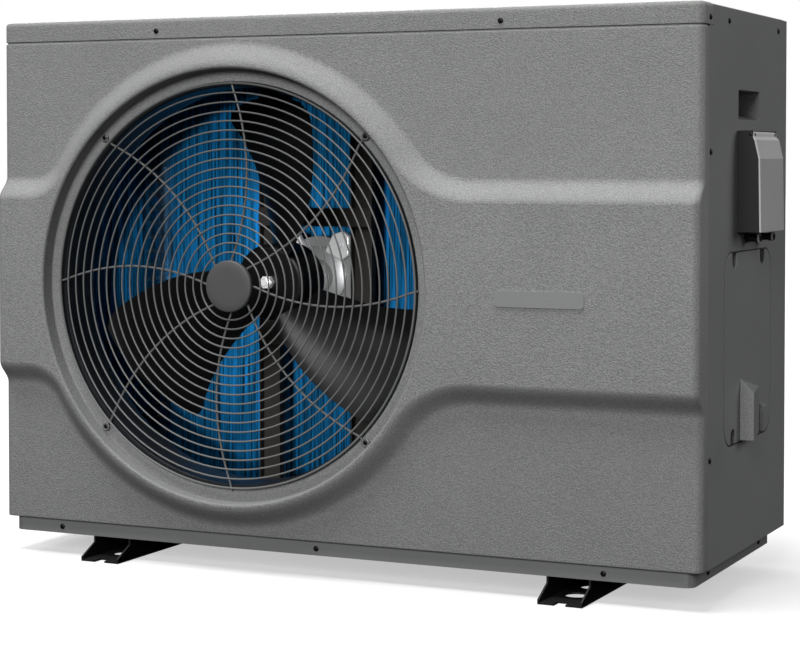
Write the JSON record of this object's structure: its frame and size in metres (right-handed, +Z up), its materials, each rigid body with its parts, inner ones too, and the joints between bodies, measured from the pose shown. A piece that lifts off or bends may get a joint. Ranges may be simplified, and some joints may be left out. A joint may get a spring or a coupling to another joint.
{
  "type": "pool heat pump unit",
  "caption": "Side-blowing pool heat pump: pressed grey casing, wire fan grille, axial fan, fin coil, water unions, control box with flap, tray and sheet feet.",
  "frame": {"origin": "middle of the whole object's box, on the surface it stands on", "axes": "+X to the right seen from the fan side, +Y to the rear where the water unions are, +Z up"},
  "size_m": [1.031, 0.461, 0.73],
  "materials": {
    "textured_grey": "pebbled satin grey",
    "side_grey": "fine satin powder coat",
    "tray_grey": "satin powder coat",
    "foot_black": "black powder coat",
    "grille_coat": "dipped plastic coat on wire",
    "cap_plastic": "matte",
    "fan_plastic": "semi-gloss black moulding",
    "housing_black": "matte black moulding",
    "union_black": "matte black moulding",
    "flap_grey": "satin light grey",
    "key_grey": "silicone keys",
    "zinc_steel": "zinc plated",
    "cast_alloy": "as cast, bright",
    "post_brown": "dark coated sheet",
    "fin_blue": "blue hydrophilic coat on thin fins",
    "copper": "drawn copper tube",
    "valve_brass": "turned brass",
    "compressor_black": "black enamel",
    "mount_rubber": "matte rubber",
    "exchanger_shell": "white PVC",
    "board_green": "solder mask",
    "badge_silver": "brushed blank plate"
  },
  "bodies": {
    "casing": {"front_panel": "textured_grey", "top_cover": "textured_grey", "right_side_panel": "side_grey", "left_coil_guard": "side_grey", "rear_coil_guard": "side_grey", "rear_service_panel": "side_grey", "access_cover": "side_grey", "base_tray": "tray_grey", "foot_left": "foot_black", "foot_right": "foot_black", "fan_grille": "grille_coat", "grille_cap": "cap_plastic", "fan_shroud": "fan_plastic", "controller_box": "housing_black", "controller_module": "housing_black", "cable_gland_front": "housing_black", "cable_gland_rear": "housing_black", "terminal_block": "housing_black", "compressor_terminal_cap": "housing_black", "drain_nipple": "housing_black", "water_inlet_union": "union_black", "water_outlet_union": "union_black", "partition_plate": "zinc_steel", "electrical_box": "zinc_steel", "controller_hinge_pin": "zinc_steel", "motor_end_shield": "cast_alloy", "fan_motor": "cast_alloy", "run_capacitor": "cast_alloy", "motor_post_left": "post_brown", "motor_post_right": "post_brown", "motor_crossbar_upper": "post_brown", "motor_crossbar_lower": "post_brown", "evaporator_coil": "fin_blue", "coil_header": "copper", "discharge_pipe": "copper", "suction_pipe": "copper", "liquid_pipe": "copper", "four_way_valve": "valve_brass", "expansion_valve": "valve_brass", "compressor": "compressor_black", "accumulator": "compressor_black", "compressor_foot_1": "mount_rubber", "compressor_foot_2": "mount_rubber", "compressor_foot_3": "mount_rubber", "heat_exchanger": "exchanger_shell", "control_board": "board_green", "blank_badge": "badge_silver"},
    "fan": {"fan_rotor": "fan_plastic", "fan_nut": "zinc_steel", "motor_shaft": "zinc_steel"},
    "flap": {"controller_flap": "flap_grey"},
    "power_key": {"power_button": "key_grey"},
    "mode_key": {"mode_button": "key_grey"},
    "down_key": {"down_button": "key_grey"},
    "up_key": {"up_button": "key_grey"},
    "inlet_nut": {"inlet_union_nut": "union_black"},
    "outlet_nut": {"outlet_union_nut": "union_black"}
  },
  "joints": [
    {"name": "fan_spin", "type": "hinge", "parent": "casing", "child": "fan", "pos_m": [-0.1545, -0.072, 0.376], "axis": [0, -1, 0], "continuous": true},
    {"name": "flap_lift", "type": "hinge", "parent": "casing", "child": "flap", "pos_m": [0.5017, -0.00575, 0.5735], "axis": [0, -1, 0], "range_deg": [0, 110]},
    {"name": "power_press", "type": "slide", "parent": "casing", "child": "power_key", "axis": [-1, 0, 0], "range_m": [0, 0.001], "stiffness_N_per_m": 800, "springref_m": -0.0005},
    {"name": "mode_press", "type": "slide", "parent": "casing", "child": "mode_key", "axis": [-1, 0, 0], "range_m": [0, 0.001], "stiffness_N_per_m": 800, "springref_m": -0.0005},
    {"name": "down_press", "type": "slide", "parent": "casing", "child": "down_key", "axis": [-1, 0, 0], "range_m": [0, 0.001], "stiffness_N_per_m": 800, "springref_m": -0.0005},
    {"name": "up_press", "type": "slide", "parent": "casing", "child": "up_key", "axis": [-1, 0, 0], "range_m": [0, 0.001], "stiffness_N_per_m": 800, "springref_m": -0.0005},
    {"name": "inlet_nut_turn", "type": "hinge", "parent": "casing", "child": "inlet_nut", "pos_m": [0.2695, 0.195, 0.16], "axis": [0, 1, 0], "continuous": true},
    {"name": "outlet_nut_turn", "type": "hinge", "parent": "casing", "child": "outlet_nut", "pos_m": [0.2695, 0.195, 0.44], "axis": [0, 1, 0], "continuous": true}
  ]
}
